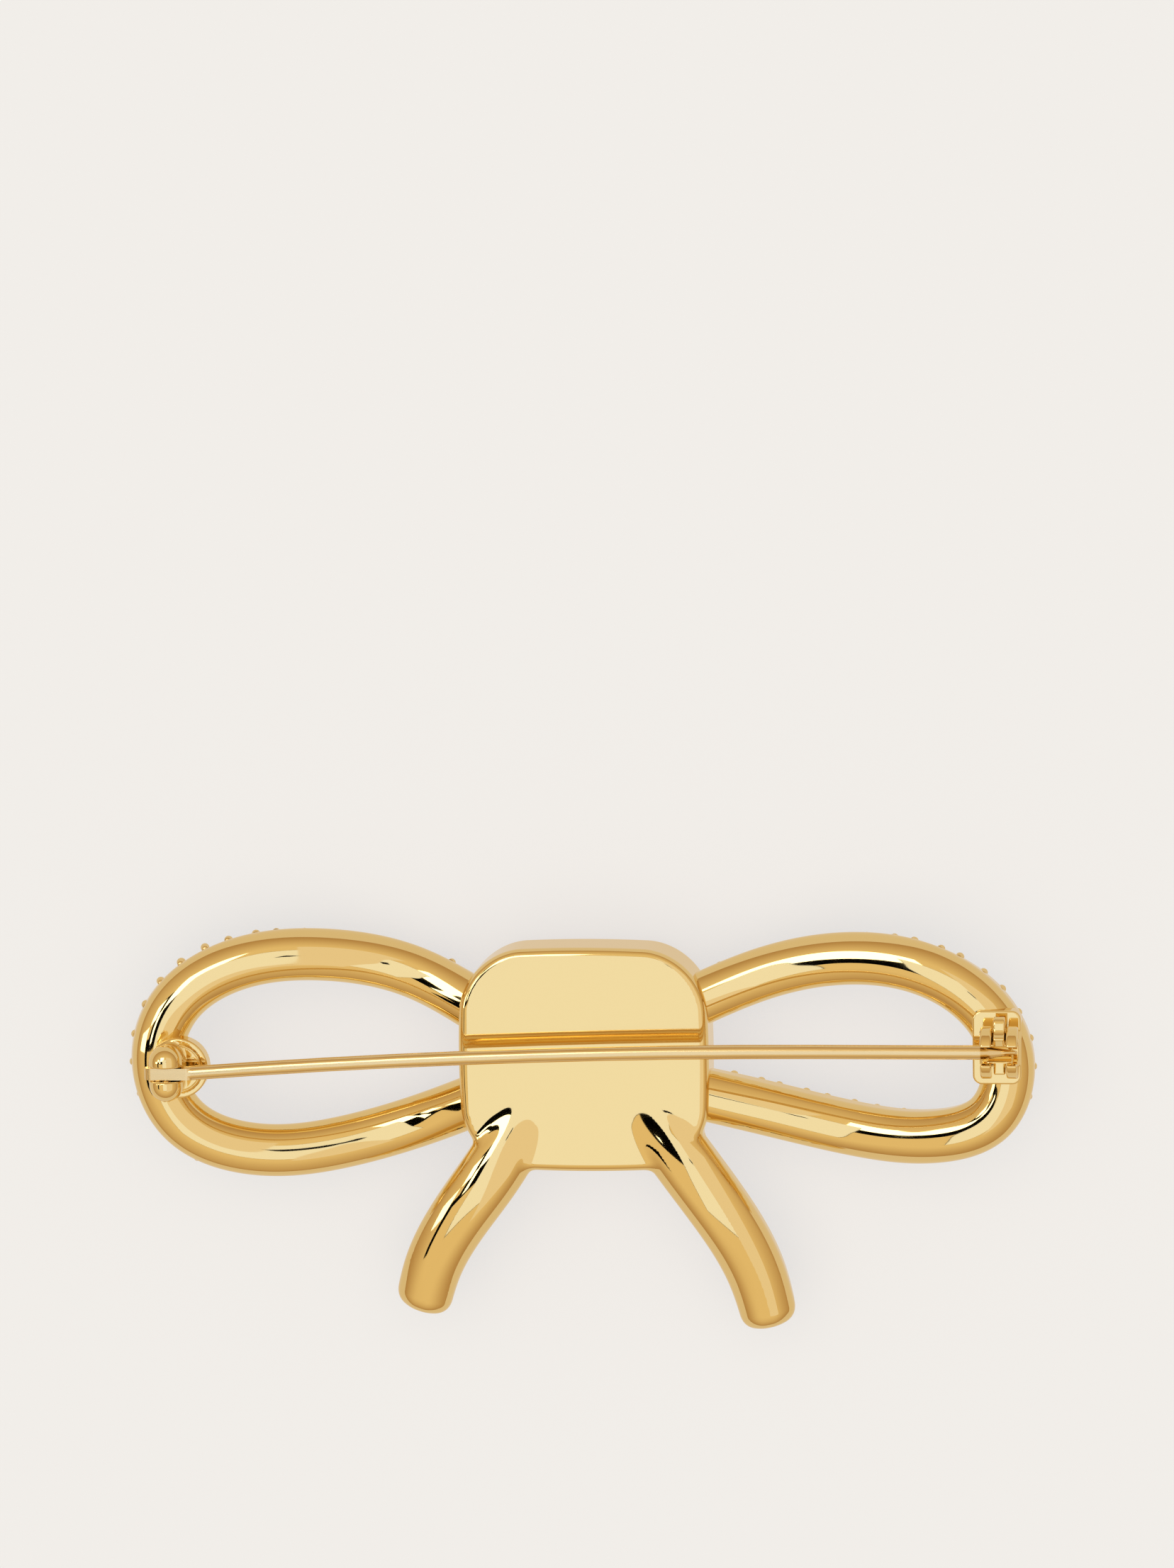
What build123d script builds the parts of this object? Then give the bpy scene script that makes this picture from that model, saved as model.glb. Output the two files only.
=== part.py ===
from build123d import *
import math
import os

# Bow brooch lying face down: +Z is its back, the pin runs along X, the tails point to -Y.
# The origin is the middle of the knot's flat resting face. All sizes are in millimetres.

# Knot: a rounded-square cushion with a flat polished back.
KNOT_WIDTH = 19.4
KNOT_HEIGHT = 17.5
KNOT_THICK = 7.0
KNOT_CROWN = 0.45
KNOT_CORNER = 4.6
KNOT_BACK_EDGE = 0.7
KNOT_FRONT_EDGE = 2.4

# Section of every ribbon bar, as shares: of half its width, and of its thickness from the back.
FRONT_SHARE = 0.93
FLANK_SHARE = 0.82
WAIST_DEPTH = 0.55
FLANK_DEPTH = 0.22
RIDGE_DEPTH = 0.06

# Ribbon bars of the loops.
BAND_WIDTH = 4.05
BAND_THICK = 3.6
BAND_FLAT = 1.9
LOOP_REACH = 32.7
LOOP_SINK = 1.5
LOOP_ROOT = KNOT_WIDTH / 2 - LOOP_SINK
LOOP_HALF_SPAN = 8.35
LOOP_ROOT_DROP = 1.2
LOOP_ROOT_BACK = KNOT_THICK - LOOP_ROOT_DROP
LOOP_LIFT = 2.3
LOOP_END_BACK = LOOP_ROOT_BACK + LOOP_LIFT
LOOP_STATIONS = 21
LOOP_STONE_START = 3.8

# Ribbon bars of the tails.
TAIL_WIDTH = 4.9
TAIL_THICK = 3.3
TAIL_FLAT = 2.1
TAIL_LENGTH = 17.2
TAIL_SPREAD = 10.4
TAIL_START_X = 3.6
TAIL_SINK = 5.55
TAIL_START_Y = TAIL_SINK - KNOT_HEIGHT / 2
TAIL_RISE = 1.0
TAIL_TOP = KNOT_THICK + TAIL_RISE
TAIL_TIP_ROUND = 0.7
TAIL_STATIONS = 9
TAIL_STONE_START = 8.2
TAIL_STONE_END = 2.2

# Stones on the front, and the claws that hold them.
STONE_DIAMETER = 3.1
TABLE_SIDES = 8
STONE_PITCH = 3.55
TAIL_PITCH = 3.85
STONE_GIRDLE = 0.12
STONE_CROWN = 0.5
STONE_PAVILION = 1.2
STONE_TABLE = 0.58
STONE_STAR = 0.8
STONE_STAR_RISE = 0.62
STONE_SINK = 0.2
SEAT_GAP = 0.06
SEAT_FLOOR_RADIUS = 0.1
SEAT_MOUTH_CLEAR = 1.0
CLAW_RADIUS = 0.34
CLAW_ALONG = 1.12
CLAW_REACH = 0.42
CLAW_POST_RADIUS = 0.25
CLAW_POST_DEPTH = 0.4
CLAW_PROUD = 0.2

# Every cutting tool goes this far past what it cuts.
CUT_PAST = 4.0

# Pin joint: a split, domed knuckle on a round base, with a rivet, on the back of the left loop's end.
JOINT_INSET = 0.8
JOINT_X = JOINT_INSET - LOOP_REACH
JOINT_Y = -0.4
FITTING_BASE = 0.5
FITTING_SINK = 0.9
PIN_RISE = 2.5
PIN_LEVEL = LOOP_END_BACK + PIN_RISE
JOINT_BASE_RADIUS = 2.35
JOINT_BASE_SHIFT = 0.55
KNUCKLE_RADIUS = 1.32
KNUCKLE_LENGTH = 4.4
KNUCKLE_NECK = 1.9
KNUCKLE_NECK_INSET = 0.25
SLOT_GAP = 0.08
RIVET_RADIUS = 0.3
RIVET_GAP = 0.04
RIVET_PROUD = 0.03

# Pin stem.
PIN_RADIUS = 0.55
PIN_TIP_RADIUS = 0.14
PIN_POINT_LENGTH = 2.6
PIN_TAB_THICK = 0.9
PIN_TAB_HEIGHT = 1.1
PIN_TAB_BACK = 1.7
PIN_TAB_FRONT = 1.6
PIN_STRAIGHT = 12.8
PIN_TIP_SHARE = 0.7

# Safety catch, on the back of the right loop's end.
CATCH_INSET = 0.45
CATCH_X = LOOP_REACH - CATCH_INSET
CATCH_Y = 1.45
CATCH_BASE_SHIFT = 0.3
CATCH_BASE_LENGTH = 3.7
CATCH_BASE_WIDTH = 5.7
CATCH_BASE_CORNER = 0.7
EAR_RADIUS = 1.98
EAR_THICK = 0.87
EAR_GAP = 1.1
EAR_BORE = 1.02
EAR_FOOT = 2.6
LEVER_CLEARANCE = 0.1
LEVER_RADIUS = 1.72
LEVER_PIN_GAP = 0.1
LEVER_TAB_REACH = 2.75
LEVER_TAB_WIDTH = 1.2
LEVER_TAB_ROUND = 0.5
LEVER_OPENING_FROM = 46.0
LEVER_OPENING_TO = 176.0
PIN_GATE = 0.12

# Ribbon routes. Columns of a loop: share of the reach, of the half span and of the lift, then the
# twist in degrees and the share of the width. Columns of a tail: share of the spread, of the length
# and of the top level, then the same two. A positive twist turns the front face outwards.
TWIST = 3
WIDTH = 4
LOOP_LEFT = [
    (0.000, 0.450, 0.35, 0.0, 1.00),
    (0.216, 0.795, -0.28, -10.0, 1.00),
    (0.502, 0.987, 0.13, -13.0, 1.00),
    (0.776, 0.883, 0.63, -5.0, 1.00),
    (0.947, 0.503, 0.93, 10.0, 1.00),
    (1.000, 0.000, 1.00, 18.0, 1.00),
    (0.931, -0.551, 0.91, 17.0, 1.00),
    (0.743, -0.826, 0.57, 13.0, 1.00),
    (0.461, -0.804, 0.04, 11.0, 1.00),
    (0.216, -0.625, -0.28, 8.0, 1.00),
    (0.000, -0.392, 0.35, 0.0, 1.00),
]
LOOP_RIGHT = [
    (0.000, 0.494, 0.25, 0.0, 1.00),
    (0.216, 0.786, 0.00, -9.0, 1.00),
    (0.520, 0.966, 0.30, -12.0, 1.00),
    (0.735, 0.861, 0.72, -5.0, 1.00),
    (0.920, 0.482, 0.95, 3.0, 1.00),
    (0.993, -0.045, 1.00, 5.0, 1.00),
    (0.939, -0.519, 0.96, 3.0, 1.00),
    (0.776, -0.723, 0.74, 0.0, 1.00),
    (0.510, -0.712, 0.12, -4.0, 1.00),
    (0.233, -0.534, 0.10, -6.0, 1.00),
    (0.000, -0.341, 0.25, 0.0, 1.00),
]
TAIL_LEFT = [
    (0.00, 0.00, 0.82, 10.0, 0.95),
    (0.33, 0.34, 1.00, 10.0, 1.00),
    (0.60, 0.56, 0.97, 8.0, 0.98),
    (0.82, 0.78, 0.87, 3.0, 0.93),
    (0.95, 1.00, 0.75, -4.0, 0.88),
]
TAIL_RIGHT = [
    (0.00, 0.00, 0.82, 8.0, 0.98),
    (0.42, 0.33, 1.00, 8.0, 1.00),
    (0.71, 0.58, 0.96, 6.0, 0.98),
    (0.90, 0.82, 0.83, 4.0, 0.94),
    (1.01, 1.07, 0.70, 0.0, 0.88),
]


def between(rows, share, column):
    """A table column's value part way along the table, on the straight line between two rows."""
    place = share * (len(rows) - 1)
    first = min(int(place), len(rows) - 2)
    part = place - first
    return rows[first][column] * (1 - part) + rows[first + 1][column] * part


def band_outline(width, thick, flat):
    """A ribbon bar's section: soft flat back at height 0, sloped flanks, swelling sides, flat front."""
    half = width / 2
    front = half * FRONT_SHARE
    waist = -thick * WAIST_DEPTH
    ridge = -thick * RIDGE_DEPTH
    flank = (half * FLANK_SHARE, -thick * FLANK_DEPTH)
    edges = [
        Line((-front, -thick), (front, -thick)),
        Line((front, -thick), (half, waist)),
        ThreePointArc((half, waist), flank, (flat / 2, ridge)),
        ThreePointArc((flat / 2, ridge), (0, 0), (-flat / 2, ridge)),
        ThreePointArc((-flat / 2, ridge), (-flank[0], flank[1]), (-half, waist)),
        Line((-half, waist), (-front, -thick)),
    ]
    return Wire(edges)


def band_plane(path, share, twist, side):
    """The plane across a bar: local x to the outside of the bow, local y from front to back."""
    along = path.tangent_at(share)
    outward = Vector(-side * along.Y, side * along.X, 0).normalized()
    upward = (along * side).cross(outward)
    turn = math.radians(twist)
    across = outward * math.cos(turn) + upward * math.sin(turn)
    return Plane(origin=path.position_at(share), x_dir=across, z_dir=along * side)


def loop_path(rows, side):
    """The middle line of a loop's back, from the knot round the end and back to the knot."""
    points = []
    for reach, span, lift, _, _ in rows:
        x = side * (LOOP_ROOT + reach * (LOOP_REACH - LOOP_ROOT))
        points.append((x, span * LOOP_HALF_SPAN, LOOP_ROOT_BACK + lift * LOOP_LIFT))
    return Spline(points)


def tail_path(rows, side):
    """The middle line of a tail's back, from inside the knot to the tip."""
    points = []
    for spread, length, top, _, _ in rows:
        x = side * (TAIL_START_X + spread * TAIL_SPREAD)
        y = TAIL_START_Y - length * TAIL_LENGTH
        points.append((x, y, top * TAIL_TOP))
    return Spline(points)


def make_knot():
    """The cushion: a square with crowned sides, rounded corners and rounded edges."""
    half_x = KNOT_WIDTH / 2
    half_y = KNOT_HEIGHT / 2
    low_x = half_x - KNOT_CROWN
    low_y = half_y - KNOT_CROWN
    edges = [
        ThreePointArc((-low_x, -low_y), (0, -half_y), (low_x, -low_y)),
        ThreePointArc((low_x, -low_y), (half_x, 0), (low_x, low_y)),
        ThreePointArc((low_x, low_y), (0, half_y), (-low_x, low_y)),
        ThreePointArc((-low_x, low_y), (-half_x, 0), (-low_x, -low_y)),
    ]
    outline = Face(Wire(edges))
    outline = outline.fillet_2d(KNOT_CORNER, outline.vertices())
    block = extrude(outline, KNOT_THICK, dir=(0, 0, 1))
    block = fillet(block.edges().group_by(Axis.Z)[-1], KNOT_BACK_EDGE)
    return fillet(block.edges().group_by(Axis.Z)[0], KNOT_FRONT_EDGE)


def make_band(path, rows, side, stations, width, thick, flat):
    """A bar lofted through sections across its path; a table's last column gives its share of width."""
    wires = []
    for i in range(stations):
        share = i / (stations - 1)
        plane = band_plane(path, share, between(rows, share, TWIST), side)
        outline = band_outline(width * between(rows, share, WIDTH), thick, flat)
        wires.append(outline.moved(plane.location))
    return Solid.make_loft(wires)


def stone_row(path, rows, side, start, end, thick, pitch):
    """Planes on a bar's front face, one for each stone of an evenly pitched row, facing outwards."""
    usable = path.length - start - end
    count = int(usable / pitch) + 1
    first = start + (usable - (count - 1) * pitch) / 2
    planes = []
    for i in range(count):
        share = (first + i * pitch) / path.length
        plane = band_plane(path, share, between(rows, share, TWIST), side)
        place = plane.origin - plane.y_dir * thick
        planes.append(Plane(origin=place, x_dir=plane.x_dir, z_dir=-plane.y_dir))
    return planes


def make_stone():
    """A round brilliant: its girdle has two sides for each of the table's, its pavilion is pointed."""
    radius = STONE_DIAMETER / 2
    low = -STONE_SINK - STONE_GIRDLE / 2
    high = -STONE_SINK + STONE_GIRDLE / 2
    sides = 2 * TABLE_SIDES
    step = 360 / sides
    girdle_low = [polar_point(radius, i * step, low) for i in range(sides)]
    girdle_high = [polar_point(radius, i * step, high) for i in range(sides)]
    flat = high + STONE_CROWN
    rise = high + STONE_CROWN * STONE_STAR_RISE
    table = [polar_point(radius * STONE_TABLE, 2 * i * step, flat) for i in range(TABLE_SIDES)]
    star = [polar_point(radius * STONE_STAR, (2 * i + 1) * step, rise) for i in range(TABLE_SIDES)]
    culet = Vector(0, 0, low - STONE_PAVILION)
    corners = [table]
    for i in range(TABLE_SIDES):
        after = (i + 1) % TABLE_SIDES
        g0 = girdle_high[2 * i]
        g1 = girdle_high[2 * i + 1]
        g2 = girdle_high[2 * after]
        corners.append([table[i], star[i], table[after]])
        corners.append([table[i], g0, star[i]])
        corners.append([table[after], star[i], g2])
        corners.append([star[i], g0, g1])
        corners.append([star[i], g1, g2])
    for i in range(sides):
        after = (i + 1) % sides
        corners.append([girdle_low[i], culet, girdle_low[after]])
        corners.append([girdle_low[i], girdle_low[after], girdle_high[after], girdle_high[i]])
    faces = [Face(Wire.make_polygon(points, close=True)) for points in corners]
    return Solid(Shell(faces))


def polar_point(radius, degrees, height):
    angle = math.radians(degrees)
    return Vector(radius * math.cos(angle), radius * math.sin(angle), height)


def make_seat():
    """The pocket under a stone: its girdle and pavilion, larger by the seat gap, open to the front."""
    radius = STONE_DIAMETER / 2 + SEAT_GAP
    low = -STONE_SINK - STONE_GIRDLE / 2 - SEAT_GAP
    mouth = Cylinder(radius, SEAT_MOUTH_CLEAR - low, align=(Align.CENTER, Align.CENTER, Align.MIN))
    bed = Cone(SEAT_FLOOR_RADIUS, radius, STONE_PAVILION, align=(Align.CENTER, Align.CENTER, Align.MAX))
    return Pos(0, 0, low) * (mouth + bed)


def claws_at(plane):
    """The four claws round one stone: a short post and a bead-shaped tip."""
    across = math.sqrt((STONE_DIAMETER / 2 + CLAW_REACH) ** 2 - CLAW_ALONG ** 2)
    height = CLAW_PROUD + CLAW_POST_DEPTH
    post = Cylinder(CLAW_POST_RADIUS, height, align=(Align.CENTER, Align.CENTER, Align.MAX))
    claw = Sphere(CLAW_RADIUS) + post
    claws = []
    for x in (-across, across):
        for y in (-CLAW_ALONG, CLAW_ALONG):
            claws.append(plane.location * Pos(x, y, CLAW_PROUD) * claw)
    return claws


def joint_base():
    """The round base and the split knuckle of the pin joint, on the left loop's end."""
    base_height = FITTING_BASE + FITTING_SINK
    base = Cylinder(JOINT_BASE_RADIUS, base_height, align=(Align.CENTER, Align.CENTER, Align.MIN))
    base = Pos(JOINT_X + JOINT_BASE_SHIFT, JOINT_Y, LOOP_END_BACK - FITTING_SINK) * base
    base_top = LOOP_END_BACK + FITTING_BASE
    neck_height = PIN_LEVEL - base_top + FITTING_BASE / 2
    neck_length = KNUCKLE_LENGTH - 2 * KNUCKLE_NECK_INSET
    neck = extrude(SlotOverall(neck_length, KNUCKLE_NECK, rotation=90), -neck_height)
    knuckle = Pos(JOINT_X, JOINT_Y, PIN_LEVEL) * (knuckle_barrel() + neck)
    slot_width = PIN_TAB_THICK + 2 * SLOT_GAP
    slot_length = 2 * (KNUCKLE_RADIUS + CUT_PAST)
    slot_height = neck_height + KNUCKLE_RADIUS + CUT_PAST
    slot = Box(slot_length, slot_width, slot_height, align=(Align.CENTER, Align.CENTER, Align.MIN))
    knuckle = knuckle - Pos(JOINT_X, JOINT_Y, base_top) * slot
    bore = Cylinder(RIVET_RADIUS + RIVET_GAP, KNUCKLE_LENGTH + CUT_PAST, rotation=(90, 0, 0))
    return base + (knuckle - Pos(JOINT_X, JOINT_Y, PIN_LEVEL) * bore)


def knuckle_barrel():
    """A round bar along the hinge's axis with a half ball at each end."""
    end = KNUCKLE_LENGTH / 2
    dome = end - KNUCKLE_RADIUS
    low_arc = CenterArc((0, -dome), KNUCKLE_RADIUS, -90, 90)
    high_arc = CenterArc((0, dome), KNUCKLE_RADIUS, 0, 90)
    wall = Line((KNUCKLE_RADIUS, -dome), (KNUCKLE_RADIUS, dome))
    profile = Face(Wire([low_arc, wall, high_arc, Line((0, end), (0, -end))]))
    return revolve(profile, Axis.Y)


def catch_base():
    """The base plate and the two slotted ears of the safety catch, on the right loop's end."""
    plate = RectangleRounded(CATCH_BASE_LENGTH, CATCH_BASE_WIDTH, CATCH_BASE_CORNER)
    place = Pos(CATCH_X - CATCH_BASE_SHIFT, CATCH_Y, LOOP_END_BACK - FITTING_SINK)
    plate = extrude(place * plate, FITTING_BASE + FITTING_SINK)
    foot_height = PIN_LEVEL - LOOP_END_BACK
    gate = 2 * (PIN_RADIUS + PIN_GATE)
    gate_height = EAR_RADIUS + CUT_PAST
    ears = []
    for side in (-1, 1):
        middle = Pos(CATCH_X + side * (EAR_GAP + EAR_THICK) / 2, CATCH_Y, PIN_LEVEL)
        ear = Cylinder(EAR_RADIUS, EAR_THICK, rotation=(0, 90, 0))
        foot = Box(EAR_THICK, EAR_FOOT, foot_height, align=(Align.CENTER, Align.CENTER, Align.MAX))
        ear = ear + foot
        ear = ear - Cylinder(EAR_BORE, EAR_THICK + CUT_PAST, rotation=(0, 90, 0))
        above = (Align.CENTER, Align.CENTER, Align.MIN)
        slot = Box(EAR_THICK + CUT_PAST, gate, gate_height, align=above)
        ears.append(middle * (ear - slot))
    return plate + ears


def make_rivet():
    """The rivet through the knuckle: a plain rod, a little proud of the domes at both ends."""
    dome = KNUCKLE_LENGTH / 2 - KNUCKLE_RADIUS
    length = 2 * (dome + math.sqrt(KNUCKLE_RADIUS ** 2 - RIVET_RADIUS ** 2))
    shank = Cylinder(RIVET_RADIUS, length + 2 * RIVET_PROUD, rotation=(90, 0, 0))
    return Pos(JOINT_X, JOINT_Y, PIN_LEVEL) * shank


def make_pin():
    """The pin: a flat rounded tab in the knuckle, a slightly bent round stem and a fine point."""
    start = (JOINT_X + PIN_TAB_FRONT, JOINT_Y)
    tip_x = CATCH_X + EAR_GAP / 2 + EAR_THICK * PIN_TIP_SHARE
    straight_from = (tip_x - PIN_POINT_LENGTH - PIN_STRAIGHT, CATCH_Y)
    straight_to = (tip_x - PIN_POINT_LENGTH, CATCH_Y)
    line = Line(straight_to, straight_from)
    bend = TangentArc(straight_from, start, tangent=line % 1)
    path = Pos(0, 0, PIN_LEVEL) * Wire([line, bend])
    stem = sweep(Plane(origin=path @ 0, z_dir=path % 0) * Circle(PIN_RADIUS), path=path)
    above = (Align.CENTER, Align.CENTER, Align.MAX)
    point = Cone(PIN_TIP_RADIUS, PIN_RADIUS, PIN_POINT_LENGTH, align=above)
    point = point + Pos(0, 0, -PIN_POINT_LENGTH) * Sphere(PIN_TIP_RADIUS)
    point = Plane(origin=path @ 0, z_dir=path % 0) * point
    length = PIN_TAB_BACK + PIN_TAB_FRONT + PIN_RADIUS
    tab = SlotOverall(length, PIN_TAB_HEIGHT)
    middle = (JOINT_X - PIN_TAB_BACK + length / 2, JOINT_Y + PIN_TAB_THICK / 2, PIN_LEVEL)
    tab = extrude(Plane(origin=middle, x_dir=(1, 0, 0), z_dir=(0, -1, 0)) * tab, PIN_TAB_THICK)
    eye = Cylinder(RIVET_RADIUS + RIVET_GAP, PIN_TAB_THICK + CUT_PAST, rotation=(90, 0, 0))
    return stem + point + (tab - Pos(JOINT_X, JOINT_Y, PIN_LEVEL) * eye)


def sector(radius, first, last):
    """A flat pie slice of the lever's turning plane, from one angle to another."""
    arc = CenterArc((0, 0), radius, first, last - first)
    return Face(Wire([Line((0, 0), arc @ 0), arc, Line(arc @ 1, (0, 0))]))


def make_lever():
    """The catch's turning C: a hub in the ears' bores, a web between the ears and a finger tab."""
    web = EAR_GAP - 2 * LEVER_CLEARANCE
    hub_length = EAR_GAP + EAR_THICK
    hole = PIN_RADIUS + LEVER_PIN_GAP
    hub = Cylinder(EAR_BORE - LEVER_CLEARANCE, hub_length) + Cylinder(LEVER_RADIUS, web)
    tab = Box(LEVER_TAB_REACH, LEVER_TAB_WIDTH, web, align=(Align.MIN, Align.CENTER, Align.CENTER))
    tab = fillet(tab.edges().filter_by(Axis.Z).sort_by(Axis.X)[-2:], LEVER_TAB_ROUND)
    body = hub + tab - Cylinder(hole, hub_length + CUT_PAST)
    opening = sector(LEVER_RADIUS + CUT_PAST, LEVER_OPENING_FROM, LEVER_OPENING_TO)
    body = body - extrude(opening, hub_length, both=True)
    turning = Plane(origin=(CATCH_X, CATCH_Y, PIN_LEVEL), x_dir=(0, 1, 0), z_dir=(1, 0, 0))
    return turning.location * body


def round_tip(band, path):
    """Softens the edges of a tail's blunt end."""
    end = band.faces().filter_by(GeomType.PLANE).sort_by_distance(path @ 1)[0]
    return fillet(end.edges(), TAIL_TIP_ROUND)


def make_row(band, planes):
    """A bar with its claws and the seats of its stones."""
    claws = [claw for plane in planes for claw in claws_at(plane)]
    seat = make_seat()
    return band + claws - [plane.location * seat for plane in planes]


os.makedirs("parts", exist_ok=True)

bars = []
stone_planes = {}
for name, side, rows in (("loop_left", -1, LOOP_LEFT), ("loop_right", 1, LOOP_RIGHT)):
    path = loop_path(rows, side)
    band = make_band(path, rows, side, LOOP_STATIONS, BAND_WIDTH, BAND_THICK, BAND_FLAT)
    planes = stone_row(path, rows, side, LOOP_STONE_START, LOOP_STONE_START, BAND_THICK, STONE_PITCH)
    bars.append(make_row(band, planes))
    stone_planes[name] = planes
for name, side, rows in (("tail_left", -1, TAIL_LEFT), ("tail_right", 1, TAIL_RIGHT)):
    path = tail_path(rows, side)
    band = make_band(path, rows, side, TAIL_STATIONS, TAIL_WIDTH, TAIL_THICK, TAIL_FLAT)
    planes = stone_row(path, rows, side, TAIL_STONE_START, TAIL_STONE_END, TAIL_THICK, TAIL_PITCH)
    bars.append(make_row(round_tip(band, path), planes))
    stone_planes[name] = planes

export_step(make_knot() + bars + joint_base() + catch_base(), "parts/bow_frame.step")
export_step(make_rivet(), "parts/joint_rivet.step")
export_step(make_pin(), "parts/pin_stem.step")
export_step(make_lever(), "parts/catch_lever.step")
stone = make_stone()
for name, planes in stone_planes.items():
    for i, plane in enumerate(planes):
        export_step(plane.location * stone, f"parts/{name}_stone_{i + 1:02d}.step")
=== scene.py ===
import math

import bpy
import numpy as np
from mathutils import Matrix, Vector


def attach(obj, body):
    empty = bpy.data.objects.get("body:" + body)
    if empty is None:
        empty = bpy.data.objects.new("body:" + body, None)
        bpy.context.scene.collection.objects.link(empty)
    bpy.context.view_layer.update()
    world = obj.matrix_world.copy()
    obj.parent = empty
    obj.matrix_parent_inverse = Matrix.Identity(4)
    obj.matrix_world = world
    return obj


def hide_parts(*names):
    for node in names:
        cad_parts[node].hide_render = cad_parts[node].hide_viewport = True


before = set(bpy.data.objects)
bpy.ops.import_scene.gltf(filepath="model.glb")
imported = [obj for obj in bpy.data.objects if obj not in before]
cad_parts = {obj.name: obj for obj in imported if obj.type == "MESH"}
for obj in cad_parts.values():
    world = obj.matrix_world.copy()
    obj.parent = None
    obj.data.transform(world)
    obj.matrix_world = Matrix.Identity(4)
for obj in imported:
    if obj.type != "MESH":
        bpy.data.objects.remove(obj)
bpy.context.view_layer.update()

# The picture is a portrait of 1656 by 2212 pixels, taken from half a metre above the brooch. The
# camera leans to the catch's side and to the bow's top edge, and the brooch lies low in the frame.
MM = 0.001
PICTURE_WIDTH = 1656
PICTURE_HEIGHT = 2212
CAMERA_DISTANCE = 500 * MM
CAMERA_LEAN_X = math.radians(6.5)
CAMERA_LEAN_Y = math.radians(10.5)
CAMERA_ROLL = math.radians(1.0)
CAMERA_SENSOR = 36.0
PIXELS_PER_METRE = 18300
AIM = Vector((0, 0, 7 * MM))
AIM_PIXEL = (822, 1497)


def set_camera():
    """The aim point stands at its pixel, at the picture's scale, with the lens turned rather than shifted."""
    lean_x = math.sin(CAMERA_LEAN_X)
    lean_y = math.sin(CAMERA_LEAN_Y)
    back = Vector((lean_x, lean_y, math.sqrt(1 - lean_x ** 2 - lean_y ** 2)))
    across = Vector((0, 1, 0)).cross(back).normalized()
    up = back.cross(across)
    rolled_across = across * math.cos(CAMERA_ROLL) - up * math.sin(CAMERA_ROLL)
    rolled_up = across * math.sin(CAMERA_ROLL) + up * math.cos(CAMERA_ROLL)
    focal_pixels = PIXELS_PER_METRE * CAMERA_DISTANCE
    turn_right = (PICTURE_WIDTH / 2 - AIM_PIXEL[0]) / focal_pixels
    turn_up = (AIM_PIXEL[1] - PICTURE_HEIGHT / 2) / focal_pixels
    ahead = (rolled_across * turn_right + rolled_up * turn_up - back).normalized()
    right = ahead.cross(rolled_up).normalized()
    above = right.cross(ahead)
    camera = bpy.data.objects.new("camera", bpy.data.cameras.new("camera"))
    camera.data.sensor_width = CAMERA_SENSOR
    camera.data.lens = CAMERA_SENSOR * focal_pixels / PICTURE_HEIGHT
    camera.data.clip_start = 10 * MM
    camera.matrix_world = Matrix.Translation(AIM + back * CAMERA_DISTANCE) @ Matrix(
        (right, above, -ahead)).transposed().to_4x4()
    bpy.context.scene.collection.objects.link(camera)
    bpy.context.scene.camera = camera
    return camera


camera = set_camera()


# The studio is a pale light table under a large daylight panel, with windows, a lamp and dark screens
# beside it. Polished gold shows nothing but these, so their places make its streaks.
TABLE_SIZE = 1.6
TABLE_HEX = "#9c8e79"
TABLE_GLOW_HEX = "#f2f8ff"
TABLE_GLOW = 0.63
# The table as polished metal sees it: one darker cream, painted shade in place of the table's shadow under
# the brooch.
PAINTED_TABLE_SHADE_HEX = "#e2d5c6"
ROOM_HEX = "#ffffff"
ROOM_GLOW = 0.68
BACKDROP_HEX = "#f1eee9"
WALL_RADIUS = 1.5
WALL_SIDES = 48
WALL_RINGS = 16
WALL_DIP = 0.02
WALL_PALE_HEIGHT = 1.125
WALL_LOW_HEX = "#b8956c"
WALL_HIGH_HEX = "#ecd6b1"
LENS_RADIUS = 14 * MM
LAMP_CLEARANCE = 30 * MM
SOFTBOX_SIZE = 0.9
SOFTBOX_GLOW = 1.3
# Columns: name, middle's x and y and size in x and y in millimetres, hex colour, strength. A lower row hangs
# a millimetre higher, so the rows above it cover it. Strength 0 is a black screen.
LAMPS = (
    ("daylight_panel", -38, -50, 236, 560, "#e8ebf8", 1.22),
    ("warm_reflector", 328, 0, 496, 900, "#f2e6db", 1.0),
    ("panel_frame", -41, -50, 238, 570, "#000000", 0),
    ("strip_lamp", -205, 275, 270, 310, "#ffffff", 3.0),
    ("window_pane", -345, 50, 80, 160, "#ffffff", 3.0),
    ("far_pane", -520, 185, 180, 160, "#ffffff", 3.0),
    ("window_screen", -320, 117, 340, 355, "#000000", 0),
    ("tail_screen", -560, -140, 150, 300, "#000000", 0),
    ("side_window", -880, 20, 460, 180, "#ffffff", 2.5),
)


def linear(hex_colour):
    """An sRGB hex colour as linear red, green, blue and 1."""
    parts = [int(hex_colour[i:i + 2], 16) / 255 for i in (1, 3, 5)]
    return [c / 12.92 if c <= 0.04045 else ((c + 0.055) / 1.055) ** 2.4 for c in parts] + [1]


def add_node(tree, kind, settings=None, links=None):
    """A new node with its settings, a socket's value or a property, and its incoming links."""
    node = tree.nodes.new(kind)
    for name, value in (settings or {}).items():
        if name in node.inputs:
            node.inputs[name].default_value = value
        else:
            setattr(node, name, value)
    for name, source in (links or {}).items():
        tree.links.new(source, node.inputs[name])
    return node


def new_material(name):
    """An empty node material and its tree."""
    material = bpy.data.materials.new(name)
    material.use_nodes = True
    material.node_tree.nodes.clear()
    return material, material.node_tree


def link_object(name, mesh):
    """A new object at the origin with that mesh, linked to the scene."""
    piece = bpy.data.objects.new(name, mesh)
    bpy.context.scene.collection.objects.link(piece)
    return piece


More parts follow.
